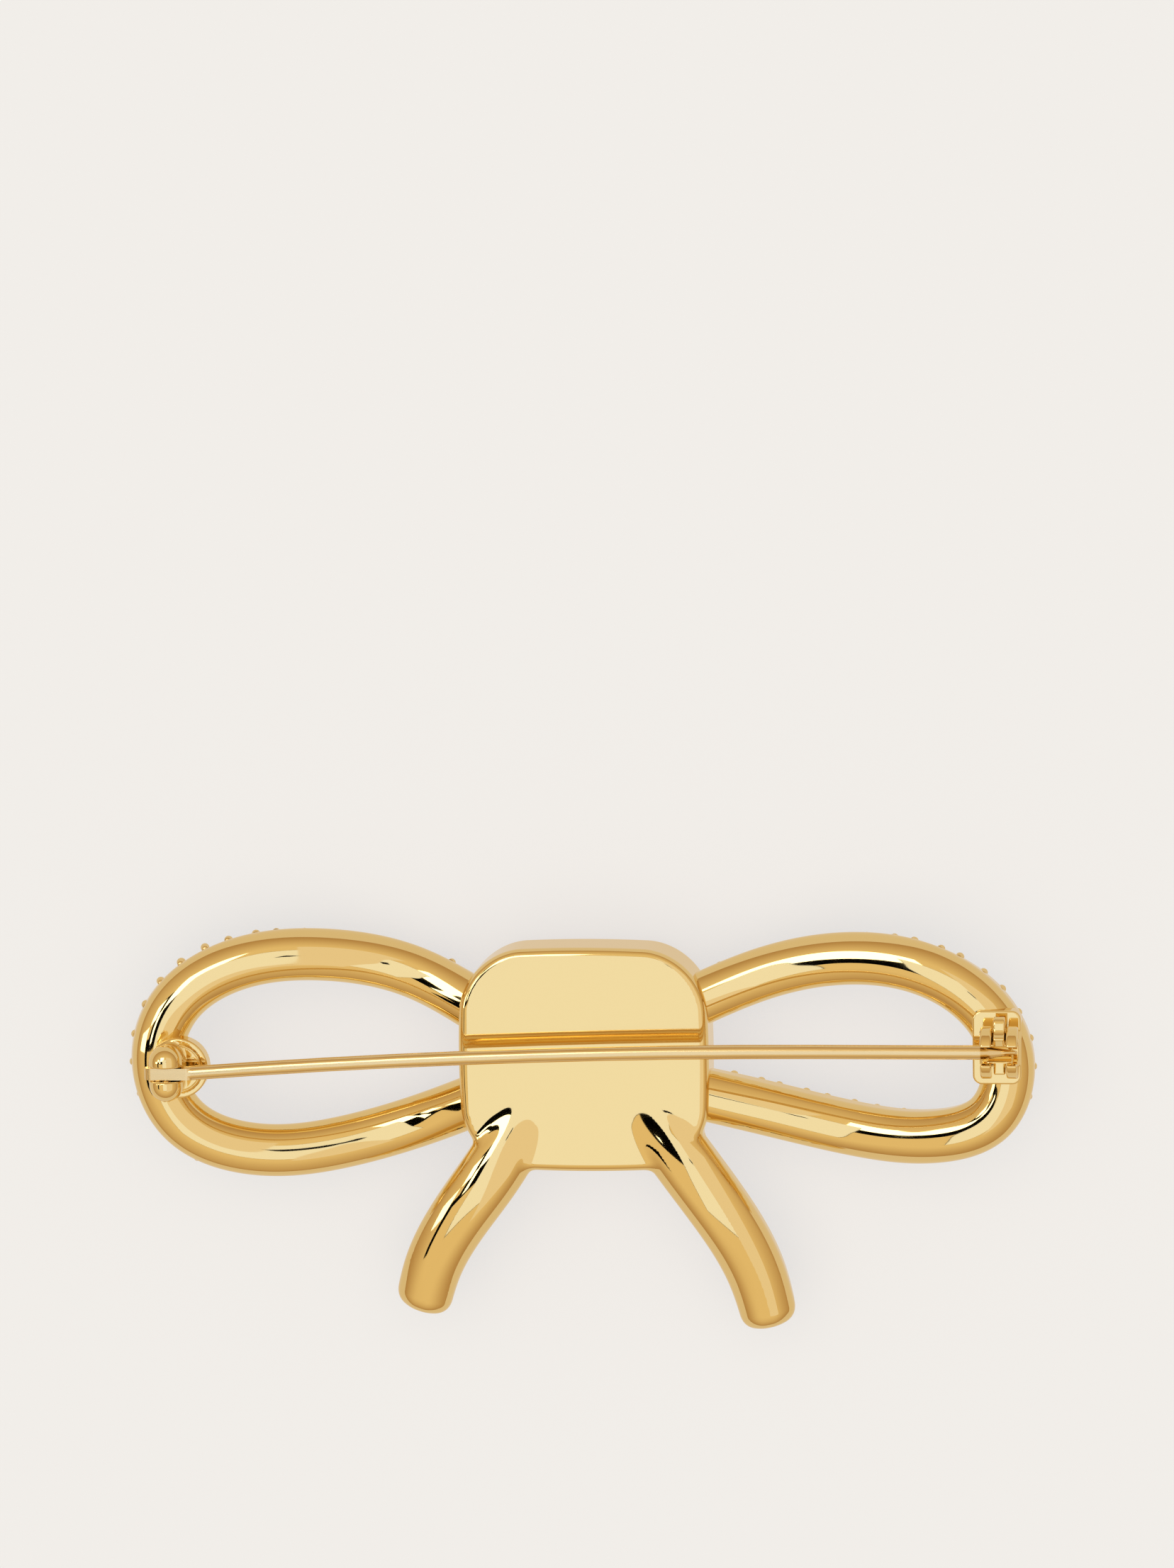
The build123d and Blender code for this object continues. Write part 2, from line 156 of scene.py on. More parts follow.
def studio_light(name, centre, aim, size, hex_colour, strength, light=True, gloss=True):
    """A flat rectangle of light that faces a point, unseen itself, or a black screen at strength 0."""
    material, tree = new_material(name)
    glow = add_node(tree, "ShaderNodeEmission", {"Color": linear(hex_colour), "Strength": strength})
    add_node(tree, "ShaderNodeOutputMaterial", links={"Surface": glow.outputs[0]})
    mesh = bpy.data.meshes.new(name)
    half_x, half_y = size[0] / 2, size[1] / 2
    corners = [(-half_x, -half_y, 0), (half_x, -half_y, 0), (half_x, half_y, 0), (-half_x, half_y, 0)]
    mesh.from_pydata(corners, [], [(0, 1, 2, 3)])
    mesh.materials.append(material)
    panel = link_object(name, mesh)
    centre = Vector(centre)
    turn = (centre - Vector(aim)).to_track_quat("Z", "Y")
    panel.matrix_world = Matrix.Translation(centre) @ turn.to_matrix().to_4x4()
    panel.visible_camera = False
    panel.visible_diffuse = light and strength > 0
    panel.visible_glossy = gloss
    panel.visible_shadow = False


def wrapped_faces(rows, columns):
    """Four-sided faces of a grid of points that closes on itself along its columns."""
    i, j = np.meshgrid(np.arange(rows - 1) * columns, np.arange(columns), indexing="ij")
    after = (j + 1) % columns
    return np.stack([i + j, i + after, i + columns + after, i + columns + j], -1).reshape(-1, 4)


def make_walls():
    """The room as polished metal sees it: half a sphere, pale above and a darker tan towards the table."""
    material, tree = new_material("room_walls")
    place = add_node(tree, "ShaderNodeTexCoord")
    height = add_node(tree, "ShaderNodeSeparateXYZ", links={"Vector": place.outputs["Object"]})
    share = add_node(tree, "ShaderNodeMapRange", {"From Max": WALL_PALE_HEIGHT},
                     {"Value": height.outputs["Z"]})
    colour = add_node(tree, "ShaderNodeMix", {"data_type": "RGBA"}, {"Factor": share.outputs[0]})
    colour.inputs[6].default_value = linear(WALL_LOW_HEX)
    colour.inputs[7].default_value = linear(WALL_HIGH_HEX)
    glow = add_node(tree, "ShaderNodeEmission", links={"Color": colour.outputs[2]})
    add_node(tree, "ShaderNodeOutputMaterial", links={"Surface": glow.outputs[0]})
    turn = np.linspace(0, 2 * math.pi, WALL_SIDES, endpoint=False)
    rise = np.linspace(-WALL_DIP, math.pi / 2, WALL_RINGS)[:, None]
    points = np.stack([np.cos(rise) * np.cos(turn), np.cos(rise) * np.sin(turn), np.sin(rise) + 0 * turn], -1)
    faces = wrapped_faces(WALL_RINGS, WALL_SIDES)
    mesh = bpy.data.meshes.new("room_walls")
    mesh.from_pydata((points.reshape(-1, 3) * WALL_RADIUS).tolist(), [], faces.tolist())
    mesh.materials.append(material)
    walls = link_object("room_walls", mesh)
    walls.visible_camera = False
    walls.visible_diffuse = False
    walls.visible_shadow = False


def make_table():
    """The light table: matt and glowing a little to the eye, and in polished metal one even, darker cream,
    which is painted shade for its shadow under the brooch.
    """
    material, tree = new_material("opal_light_table")
    matt = add_node(tree, "ShaderNodeBsdfDiffuse", {"Color": linear(TABLE_HEX)})
    glow = add_node(tree, "ShaderNodeEmission", {"Color": linear(TABLE_GLOW_HEX), "Strength": TABLE_GLOW})
    both = add_node(tree, "ShaderNodeAddShader")
    tree.links.new(matt.outputs[0], both.inputs[0])
    tree.links.new(glow.outputs[0], both.inputs[1])
    # Glossy rays see this flat darker colour instead of the table: painted shade for the table's shadow under
    # the brooch, seen in the gold.
    painted_shade = add_node(tree, "ShaderNodeEmission", {"Color": linear(PAINTED_TABLE_SHADE_HEX)})
    path = add_node(tree, "ShaderNodeLightPath")
    seen = add_node(tree, "ShaderNodeMixShader", links={"Fac": path.outputs["Is Glossy Ray"]})
    tree.links.new(both.outputs[0], seen.inputs[1])
    tree.links.new(painted_shade.outputs[0], seen.inputs[2])
    add_node(tree, "ShaderNodeOutputMaterial", links={"Surface": seen.outputs[0]})
    mesh = bpy.data.meshes.new("table")
    half = TABLE_SIZE / 2
    corners = [(-half, -half, 0), (half, -half, 0), (half, half, 0), (-half, half, 0)]
    mesh.from_pydata(corners, [], [(0, 1, 2, 3)])
    mesh.materials.append(material)
    table = link_object("table", mesh)


def hang_lamps():
    """The lamps face straight down from just above the camera, whose lens is a black square in the metal."""
    above = camera.matrix_world.translation.z + LAMP_CLEARANCE
    for i, (name, x, y, width, depth, hex_colour, strength) in enumerate(LAMPS):
        centre = (x * MM, y * MM, above + i * MM)
        aim = (x * MM, y * MM, 0)
        studio_light(name, centre, aim, (width * MM, depth * MM), hex_colour, strength, light=False)
    softbox = (SOFTBOX_SIZE, SOFTBOX_SIZE)
    studio_light("overhead_softbox", (0, 0, above), (0, 0, 0), softbox, "#ffffff", SOFTBOX_GLOW, gloss=False)
    lens = (2 * LENS_RADIUS, 2 * LENS_RADIUS)
    studio_light("lens_front", camera.matrix_world.translation, AIM, lens, "#000000", 0)


def set_studio():
    """The table, the walls and the lamps, in a room that is white for light and pale grey for the camera."""
    make_table()
    make_walls()
    hang_lamps()
    world = bpy.data.worlds.new("studio_room")
    world.use_nodes = True
    world.node_tree.nodes.clear()
    tree = world.node_tree
    room = add_node(tree, "ShaderNodeBackground", {"Color": linear(ROOM_HEX), "Strength": ROOM_GLOW})
    backdrop = add_node(tree, "ShaderNodeBackground", {"Color": linear(BACKDROP_HEX)})
    path = add_node(tree, "ShaderNodeLightPath")
    seen = add_node(tree, "ShaderNodeMixShader", links={"Fac": path.outputs["Is Camera Ray"]})
    tree.links.new(room.outputs[0], seen.inputs[1])
    tree.links.new(backdrop.outputs[0], seen.inputs[2])
    add_node(tree, "ShaderNodeOutputWorld", links={"Surface": seen.outputs[0]})
    bpy.context.scene.world = world
    bpy.context.scene.view_settings.view_transform = "Standard"


set_studio()


# The knot and the two tails are one casting of brass, polished and plated with yellow gold. The knot's
# back is a flat mirror, and each tail rises out of it with a small fillet.
KNOT_WIDTH = 19.4
KNOT_HEIGHT = 17.5
KNOT_THICK = 7.0
KNOT_CROWN = 0.45
KNOT_CORNER = 4.6
KNOT_BACK_EDGE = 0.7
KNOT_FRONT_EDGE = 2.4
TAIL_WIDTH = 4.9
TAIL_THICK = 3.3
TAIL_LENGTH = 17.2
TAIL_SPREAD = 10.4
TAIL_START_X = 3.6
TAIL_START_Y = -3.2
TAIL_TOP = 8.0
TAIL_TIP_EDGE = 0.7
TAIL_BLEND = 0.5
CASTING_BOX = ((-18, -23, -0.5), (18, 10, 9))
CASTING_CELL = 0.2
GRID_PARTS = 12
SETTLING_STEPS = 3
PATH_SAMPLES = 240
# Columns: share of the spread, of the length and of the top level, twist in degrees, share of the width.
TAIL_LEFT = [
    (0.00, 0.00, 0.82, 10.0, 0.95),
    (0.33, 0.34, 1.00, 10.0, 1.00),
    (0.60, 0.56, 0.97, 8.0, 0.98),
    (0.82, 0.78, 0.87, 3.0, 0.93),
    (0.95, 1.00, 0.75, -4.0, 0.88),
]
TAIL_RIGHT = [
    (0.00, 0.00, 0.82, 8.0, 0.98),
    (0.42, 0.33, 1.00, 8.0, 1.00),
    (0.71, 0.58, 0.96, 6.0, 0.98),
    (0.90, 0.82, 0.83, 4.0, 0.94),
    (1.01, 1.07, 0.70, 0.0, 0.88),
]
# A bar's section: its crown, flanks, swelling sides and flat front as shares of its half width and thickness.
CROWN_RADIUS = 5.0
FRONT_SHARE = 0.93
WAIST_DEPTH = 0.55
FLANK_TILT = math.radians(48)
FLANK_REACH = 0.83
FLANK_DEPTH = 0.22
SECTION_SOFTNESS = 0.55
# Real polishing marks are too fine to show, so the haze has waves of about 1.1 mm.
GOLD_HEX = "#f3d997"
GOLD_ROUGHNESS = (0.03, 0.06)
HAZE_PER_METRE = 900.0


def natural_spline(knots, values, at):
    """The natural cubic spline: the smoothest curve through all the values, straight beyond its ends."""
    gaps = np.diff(knots)
    count = len(knots)
    matrix = np.eye(count)
    slopes = np.diff(values, axis=0) / gaps[:, None]
    right = np.zeros_like(values)
    for i in range(1, count - 1):
        matrix[i, i - 1:i + 2] = gaps[i - 1], 2 * (gaps[i - 1] + gaps[i]), gaps[i]
        right[i] = 6 * (slopes[i] - slopes[i - 1])
    bend = np.linalg.solve(matrix, right)
    i = np.clip(np.searchsorted(knots, at) - 1, 0, count - 2)
    gap = gaps[i][:, None]
    before = (knots[i + 1] - at)[:, None]
    after = (at - knots[i])[:, None]
    ends = (bend[i] * before ** 3 + bend[i + 1] * after ** 3) / (6 * gap)
    first = (values[i] / gap - bend[i] * gap / 6) * before
    second = (values[i + 1] / gap - bend[i + 1] * gap / 6) * after
    return ends + first + second


def bar_frames(points, columns, side, samples):
    """A bar's centre line at even steps, with its outward, upward and forward directions and its columns."""
    points = np.array(points, float)
    knots = np.concatenate([[0], np.cumsum(np.linalg.norm(np.diff(points, axis=0), axis=1))])
    even = np.linspace(0, knots[-1], samples)
    centre = natural_spline(knots, points, even)
    along = np.gradient(centre, axis=0)
    along /= np.linalg.norm(along, axis=1)[:, None]
    outward = np.stack([-side * along[:, 1], side * along[:, 0], 0 * along[:, 0]], 1)
    outward /= np.linalg.norm(outward, axis=1)[:, None]
    upward = np.cross(along * side, outward)
    columns = natural_spline(knots, np.array(columns, float), even)
    turn = np.radians(columns[:, :1])
    turned_out = outward * np.cos(turn) + upward * np.sin(turn)
    turned_up = upward * np.cos(turn) - outward * np.sin(turn)
    return centre, turned_out, turned_up, along, columns[:, 1:]


def soft_max(a, b, softness):
    """The larger of two distances, rounded off where they are nearly equal."""
    near = np.maximum(softness - np.abs(a - b), 0) / softness
    return np.maximum(a, b) + near * near * softness / 4


def soft_join(a, b, softness):
    """The distance outside both of two shapes, with a fillet where they meet."""
    return -soft_max(-a, -b, softness)


def round_edge(a, b, radius):
    """Distance outside the meeting of two half spaces, whose edge has a round of that radius."""
    over_a = np.maximum(a + radius, 0)
    over_b = np.maximum(b + radius, 0)
    return np.hypot(over_a, over_b) + np.minimum(np.maximum(a, b) + radius, 0) - radius


def section_distance(a, b, half, thick):
    """Distance outside a bar's section: a crowned back at height 0, sloped flanks, sides and a flat front."""
    a = np.abs(a)
    crown = np.hypot(a, b + CROWN_RADIUS) - CROWN_RADIUS
    flank = (a - half * FLANK_REACH) * math.sin(FLANK_TILT) + (b + thick * FLANK_DEPTH) * math.cos(FLANK_TILT)
    slope = half * (1 - FRONT_SHARE) / (thick * (1 - WAIST_DEPTH))
    side = (a - half - (b + thick * WAIST_DEPTH) * slope) / np.hypot(1, slope)
    back = soft_max(soft_max(crown, flank, SECTION_SOFTNESS), side, SECTION_SOFTNESS)
    return soft_max(back, -thick - b, SECTION_SOFTNESS)


def tail_frames(rows, side):
    """A tail's frames, with its shares turned to millimetres: sideways, down from the knot, and up."""
    points = [(side * (TAIL_START_X + spread * TAIL_SPREAD), TAIL_START_Y - length * TAIL_LENGTH,
               top * TAIL_TOP) for spread, length, top, _, _ in rows]
    return bar_frames(points, [row[3:] for row in rows], side, PATH_SAMPLES)


def tail_distance(points, frames, thick):
    """Distance outside a tail: its section at the nearest place on its middle line, cut off at both ends."""
    centre, outward, upward, along, columns = frames
    squares = (points ** 2).sum(1)[:, None] - 2 * points @ centre.T + (centre ** 2).sum(1)
    near = squares.argmin(1)
    away = points - centre[near]
    ahead = (away * along[near]).sum(1)
    step = np.linalg.norm(centre[1] - centre[0])
    place = np.clip(near + ahead / step, 0, len(centre) - 1)
    first = np.minimum(place.astype(int), len(centre) - 2)
    part = (place - first)[:, None]
    middle = centre[first] * (1 - part) + centre[first + 1] * part
    out = outward[first] * (1 - part) + outward[first + 1] * part
    up = upward[first] * (1 - part) + upward[first + 1] * part
    share = (columns[first] * (1 - part) + columns[first + 1] * part)[:, 0]
    away = points - middle
    a = (away * out).sum(1)
    b = (away * up).sum(1)
    past_tip = (points - centre[-1]) @ along[-1]
    before_root = (centre[0] - points) @ along[0]
    body = section_distance(a, b, TAIL_WIDTH / 2 * share, thick)
    return np.maximum(soft_max(body, past_tip, 2 * TAIL_TIP_EDGE), before_root)


def knot_distance(points):
    """Distance outside the knot: a square with crowned sides, and rounded corners and edges."""
    x = np.abs(points[:, 0])
    y = np.abs(points[:, 1])
    half_x = KNOT_WIDTH / 2 - KNOT_CROWN * (y / (KNOT_HEIGHT / 2)) ** 2
    half_y = KNOT_HEIGHT / 2 - KNOT_CROWN * (x / (KNOT_WIDTH / 2)) ** 2
    outline = round_edge(x - half_x, y - half_y, KNOT_CORNER)
    back = round_edge(outline, points[:, 2] - KNOT_THICK, KNOT_BACK_EDGE)
    return np.maximum(back, round_edge(outline, -points[:, 2], KNOT_FRONT_EDGE))


def casting_distance(points):
    """Distance outside the knot and tails, joined with a small fillet."""
    distance = knot_distance(points)
    for frames in CASTING_TAILS:
        distance = soft_join(distance, tail_distance(points, frames, TAIL_THICK), TAIL_BLEND)
    return distance


def skin_of(distance, low, high, cell):
    """The surface where a distance is 0: one point in each grid cell it crosses, and four cells to a face."""
    sizes = np.ceil((np.array(high) - low) / cell).astype(int) + 1
    axes = [low[i] + cell * np.arange(sizes[i]) for i in range(3)]
    grid = np.stack(np.meshgrid(*axes, indexing="ij"), -1).reshape(-1, 3)
    field = np.concatenate([distance(part) for part in np.array_split(grid, GRID_PARTS)]).reshape(sizes)
    inside = field < 0
    corners = sum(inside[i:sizes[0] - 1 + i, j:sizes[1] - 1 + j, k:sizes[2] - 1 + k].astype(int)
                  for i in (0, 1) for j in (0, 1) for k in (0, 1))
    crossed = (corners > 0) & (corners < 8)
    number = np.full(crossed.shape, -1)
    number[crossed] = np.arange(crossed.sum())
    points = np.argwhere(crossed) * cell + low + cell / 2
    faces = []
    for axis in range(3):
        u, v = (axis + 1) % 3, (axis + 2) % 3
        first = [slice(1, -1)] * 3
        first[axis] = slice(0, -1)
        second = list(first)
        second[axis] = slice(1, None)
        starts = inside[tuple(first)]
        ends = inside[tuple(second)]
        edges = np.argwhere(starts != ends)
        outwards = starts[starts != ends]
        edges[:, u] += 1
        edges[:, v] += 1
        ring = []
        for du, dv in ((-1, -1), (0, -1), (0, 0), (-1, 0)):
            cells = edges.copy()
            cells[:, u] += du
            cells[:, v] += dv
            ring.append(number[tuple(cells.T)])
        ring = np.stack(ring, 1)
        ring[~outwards] = ring[~outwards][:, ::-1]
        faces.append(ring)
    return points, np.concatenate(faces)


def slope_of(distance, points, step=0.01):
    """The direction in which a distance grows fastest, by central differences."""
    parts = []
    for axis in range(3):
        shift = np.zeros(3)
        shift[axis] = step
        parts.append(distance(points + shift) - distance(points - shift))
    return np.stack(parts, 1) / (2 * step)


def casting_mesh(name, distance, box, cell):
    """A mesh whose points lie exactly on the surface and whose shading follows the exact slope."""
    low, high = np.array(box, float)
    points, faces = skin_of(distance, low, high, cell)
    for _ in range(SETTLING_STEPS):
        slope = slope_of(distance, points)
        points -= (distance(points) / (slope ** 2).sum(1))[:, None] * slope
    slope = slope_of(distance, points)
    slope /= np.linalg.norm(slope, axis=1)[:, None]
    return smooth_mesh(name, points * MM, faces, slope)


def smooth_mesh(name, points, faces, normals=None):
    """A smooth-shaded mesh from whole arrays of points and faces."""
    mesh = bpy.data.meshes.new(name)
    mesh.vertices.add(len(points))
    mesh.vertices.foreach_set("co", np.ascontiguousarray(points, np.float32).ravel())
    mesh.loops.add(faces.size)
    mesh.loops.foreach_set("vertex_index", faces.astype(np.int32).ravel())
    mesh.polygons.add(len(faces))
    mesh.polygons.foreach_set("loop_start", np.arange(0, faces.size, faces.shape[1], dtype=np.int32))
    mesh.update()
    mesh.validate()
    mesh.shade_smooth()
    if normals is not None:
        mesh.normals_split_custom_set_from_vertices(normals.tolist())
    return mesh


def polished_gold():
    """Gold plate over polished brass: a mirror with the faintest haze of fine polishing marks."""
    material, tree = new_material("polished_gold_plate")
    place = add_node(tree, "ShaderNodeTexCoord")
    haze = add_node(tree, "ShaderNodeTexNoise", {"Scale": HAZE_PER_METRE},
                    {"Vector": place.outputs["Object"]})
    spread = add_node(tree, "ShaderNodeMapRange", {"To Min": GOLD_ROUGHNESS[0], "To Max": GOLD_ROUGHNESS[1]},
                      {"Value": haze.outputs[0]})
    gold = add_node(tree, "ShaderNodeBsdfPrincipled", {"Base Color": linear(GOLD_HEX), "Metallic": 1.0},
                    {"Roughness": spread.outputs[0]})
    add_node(tree, "ShaderNodeOutputMaterial", links={"Surface": gold.outputs[0]})
    return material


CASTING_TAILS = [tail_frames(TAIL_LEFT, -1), tail_frames(TAIL_RIGHT, 1)]
GOLD = polished_gold()
casting_skin = casting_mesh("knot_and_tails", casting_distance, CASTING_BOX, CASTING_CELL)
casting = link_object("knot_and_tails", casting_skin)
casting.data.materials.append(GOLD)
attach(casting, "bow")
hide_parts("bow_frame")


# Each ribbon loop is one bar bent round from knot to knot, with a crowned back and a flat front that
# carries its stones. It is cast with the knot, and polished and plated with it.
BAND_WIDTH = 4.05
BAND_THICK = 3.6
LOOP_REACH = 32.7
LOOP_ROOT = 8.2
LOOP_HALF_SPAN = 8.35
LOOP_ROOT_BACK = 5.8
LOOP_LIFT = 2.3
LOOP_STEPS = 420
SECTION_STEPS = 112
HALVINGS = 40
# Columns: share of the reach, of the half span and of the lift, and twist in degrees.
LOOP_LEFT = [
    (0.000, 0.450, 0.35, 0.0),
    (0.216, 0.795, -0.28, -10.0),
    (0.502, 0.987, 0.13, -13.0),
    (0.776, 0.883, 0.63, -5.0),
    (0.947, 0.503, 0.93, 10.0),
    (1.000, 0.000, 1.00, 18.0),
    (0.931, -0.551, 0.91, 17.0),
    (0.743, -0.826, 0.57, 13.0),
    (0.461, -0.804, 0.04, 11.0),
    (0.216, -0.625, -0.28, 8.0),
    (0.000, -0.392, 0.35, 0.0),
]
LOOP_RIGHT = [
    (0.000, 0.494, 0.25, 0.0),
    (0.216, 0.786, 0.00, -9.0),
    (0.520, 0.966, 0.30, -12.0),
    (0.735, 0.861, 0.72, -5.0),
    (0.920, 0.482, 0.95, 3.0),
    (0.993, -0.045, 1.00, 5.0),
    (0.939, -0.519, 0.96, 3.0),
    (0.776, -0.723, 0.74, 0.0),
    (0.510, -0.712, 0.12, -4.0),
    (0.233, -0.534, 0.10, -6.0),
    (0.000, -0.341, 0.25, 0.0),
]


def section_ring(half, thick, steps):
    """Points round a bar's section: along evenly turned rays from its middle, where the distance is 0."""
    turn = np.linspace(0, 2 * math.pi, steps, endpoint=False)
    low = np.zeros(steps)
    high = np.full(steps, 2 * half + thick)
    for _ in range(HALVINGS):
        reach = (low + high) / 2
        outside = section_distance(reach * np.cos(turn), reach * np.sin(turn) - thick / 2, half, thick) > 0
        high = np.where(outside, reach, high)
        low = np.where(outside, low, reach)
    return reach * np.cos(turn), reach * np.sin(turn) - thick / 2


def close_ends(points, faces, rows, columns):
    """Triangles of wrapped grids, each grid's whole first row drawn into one point, and its last row too."""
    triangles = np.concatenate([faces[:, :3], faces[:, [0, 2, 3]]])
    row = triangles % (rows * columns) // columns
    triangles = np.where((row == 0) | (row == rows - 1), triangles - triangles % columns, triangles)
    a, b, c = triangles.T
    used, triangles = np.unique(triangles[(a != b) & (b != c) & (a != c)], return_inverse=True)
    return points.reshape(-1, 3)[used], triangles.reshape(-1, 3)


def loop_frames(rows, side):
    """A loop's frames, with its shares turned to millimetres: out from the knot, along its height, and up."""
    points = [(side * (LOOP_ROOT + reach * (LOOP_REACH - LOOP_ROOT)), span * LOOP_HALF_SPAN,
               LOOP_ROOT_BACK + lift * LOOP_LIFT) for reach, span, lift, _ in rows]
    return bar_frames(points, [row[3:] for row in rows], side, LOOP_STEPS)


def make_loop(name, rows, side):
    """The loop's skin: its section carried along the bar's centre line, with flat ends inside the knot."""
    centre, outward, upward, _, _ = loop_frames(rows, side)
    a, b = section_ring(BAND_WIDTH / 2, BAND_THICK, SECTION_STEPS)
    points = centre[:, None] + outward[:, None] * a[None, :, None] + upward[:, None] * b[None, :, None]
    ends = points[[0, -1]].mean(1, keepdims=True) + 0 * points[:1]
    points = np.concatenate([ends[:1], points, ends[1:]])
    faces = wrapped_faces(LOOP_STEPS + 2, SECTION_STEPS)
    if side < 0:
        faces = faces[:, ::-1]
    points, faces = close_ends(points, faces, LOOP_STEPS + 2, SECTION_STEPS)
    loop = link_object(name, smooth_mesh(name, points * MM, faces))
    loop.data.materials.append(GOLD)
    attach(loop, "bow")
    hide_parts("bow_frame")


make_loop("ribbon_loop_left", LOOP_LEFT, -1)
make_loop("ribbon_loop_right", LOOP_RIGHT, 1)


# Each stone is a clear cut crystal, held by four prongs of the casting, whose round heads are pushed
# over its edge. The claws of a row are one mesh, set out from the stones themselves.
STONE_CULET_DEPTH = 1.46
STONE_DIAMETER = 3.1
LOOP_STONES = 15
TAIL_STONES = 3
CLAW_RADIUS = 0.34
CLAW_POST_RADIUS = 0.25
CLAW_ALONG = 1.12
CLAW_REACH = 0.42
CLAW_PROUD = 0.2
CLAW_FOOT = -0.95
CLAW_LEAN = 0.13
CLAW_LEAN_START = -0.15
CLAW_LEAN_HEIGHT = 0.5
CLAW_SIDES = 16
CLAW_RINGS = 11
CLAW_HEX = "#f5dc9f"
CLAW_ROUGHNESS = (0.24, 0.34)
# Tumbling leaves finer dents than these, which are 0.4 mm long, half of a claw's head, so that they show.
GRAIN_PER_METRE = 2500.0
CRYSTAL_HEX = "#fbfdff"
CRYSTAL_INDEX = 1.56


def unit(vectors):
    """Each vector divided by its own length."""
    return vectors / np.linalg.norm(vectors, axis=-1, keepdims=True)


def stone_places(row, count):
    """Each stone's place on the bar's front face, the way it faces, and the directions across and along."""
    places = []
    axes = []
    for i in range(count):
        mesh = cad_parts[f"{row}_stone_{i + 1:02d}"].data
        points = np.empty(3 * len(mesh.vertices))
        mesh.vertices.foreach_get("co", points)
        points = np.unique(np.round(points.reshape(-1, 3) / MM, 4), axis=0)
        middle = points.mean(0)
        axis = np.linalg.svd(points - middle)[2][2]
        heights = (points - middle) @ axis
        culet = points[np.abs(heights).argmax()]
        axis = unit(middle - culet)
        places.append(culet + axis * STONE_CULET_DEPTH)
        axes.append(axis)
    places = np.array(places)
    axes = np.array(axes)
    along = np.gradient(places, axis=0)
    along = unit(along - (along * axes).sum(1)[:, None] * axes)
    return places, axes, np.cross(along, axes), along


def tumbled_gold():
    """The same plate on the claws, which are only tumbled, so they shine softly and mirror nothing sharp."""
    material, tree = new_material("tumbled_gold_plate")
    place = add_node(tree, "ShaderNodeTexCoord")
    grain = add_node(tree, "ShaderNodeTexNoise", {"Scale": GRAIN_PER_METRE},
                     {"Vector": place.outputs["Object"]})
    spread = add_node(tree, "ShaderNodeMapRange", {"To Min": CLAW_ROUGHNESS[0], "To Max": CLAW_ROUGHNESS[1]},
                      {"Value": grain.outputs[0]})
    gold = add_node(tree, "ShaderNodeBsdfPrincipled", {"Base Color": linear(CLAW_HEX), "Metallic": 1.0},
                    {"Roughness": spread.outputs[0]})
    add_node(tree, "ShaderNodeOutputMaterial", links={"Surface": gold.outputs[0]})
    return material


def make_claws(name, row, count):
    """Turned prongs: a straight post that swells to a ball, and leans over towards its stone near the top."""
    places, axes, across, along = stone_places(row, count)
    reach = math.sqrt((STONE_DIAMETER / 2 + CLAW_REACH) ** 2 - CLAW_ALONG ** 2)
    neck = math.acos(-math.sqrt(1 - (CLAW_POST_RADIUS / CLAW_RADIUS) ** 2))
    polar = np.linspace(0, neck, CLAW_RINGS)
    radius = np.append(CLAW_RADIUS * np.sin(polar), [CLAW_POST_RADIUS, 0])
    height = np.append(CLAW_PROUD + CLAW_RADIUS * np.cos(polar), [CLAW_FOOT, CLAW_FOOT])
    lean = CLAW_LEAN * np.clip((height - CLAW_LEAN_START) / CLAW_LEAN_HEIGHT, 0, 1) ** 2
    turn = np.linspace(0, 2 * math.pi, CLAW_SIDES, endpoint=False)
    points = []
    for a in (-1, 1):
        for b in (-1, 1):
            inwards = unit(np.array([-a * reach, -b * CLAW_ALONG]))
            x = a * reach + inwards[0] * lean[:, None] + radius[:, None] * np.cos(turn)
            y = b * CLAW_ALONG + inwards[1] * lean[:, None] + radius[:, None] * np.sin(turn)
            z = height[:, None] + 0 * x
            points.append(places[:, None, None] + across[:, None, None] * x[..., None]
                          + along[:, None, None] * y[..., None] + axes[:, None, None] * z[..., None])
    points = np.concatenate(points)
    rings = len(height)
    one = wrapped_faces(rings, CLAW_SIDES)
    faces = np.concatenate([one + i * rings * CLAW_SIDES for i in range(len(points))])
    points, faces = close_ends(points, faces, rings, CLAW_SIDES)
    claws = link_object(name, smooth_mesh(name, points * MM, faces))
    claws.data.materials.append(CLAW_GOLD)
    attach(claws, "bow")
    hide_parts("bow_frame")


def cut_crystal():
    """Lead crystal, cut and polished: clear, very smooth facets and strong sparkle from its high index."""
    material, tree = new_material("cut_lead_crystal")
    glass = add_node(tree, "ShaderNodeBsdfPrincipled", {
        "Base Color": linear(CRYSTAL_HEX), "Transmission Weight": 1.0,
        "IOR": CRYSTAL_INDEX, "Roughness": 0.0})
    add_node(tree, "ShaderNodeOutputMaterial", links={"Surface": glass.outputs[0]})
    return material


CRYSTAL = cut_crystal()
CLAW_GOLD = tumbled_gold()
for stone_row, stone_count in (("loop_left", LOOP_STONES), ("loop_right", LOOP_STONES),
                               ("tail_left", TAIL_STONES), ("tail_right", TAIL_STONES)):
    make_claws(f"{stone_row}_claws", stone_row, stone_count)
    for stone_number in range(1, stone_count + 1):
        stone_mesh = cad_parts[f"{stone_row}_stone_{stone_number:02d}"].data
        stone_mesh.materials.clear()
        stone_mesh.materials.append(CRYSTAL)


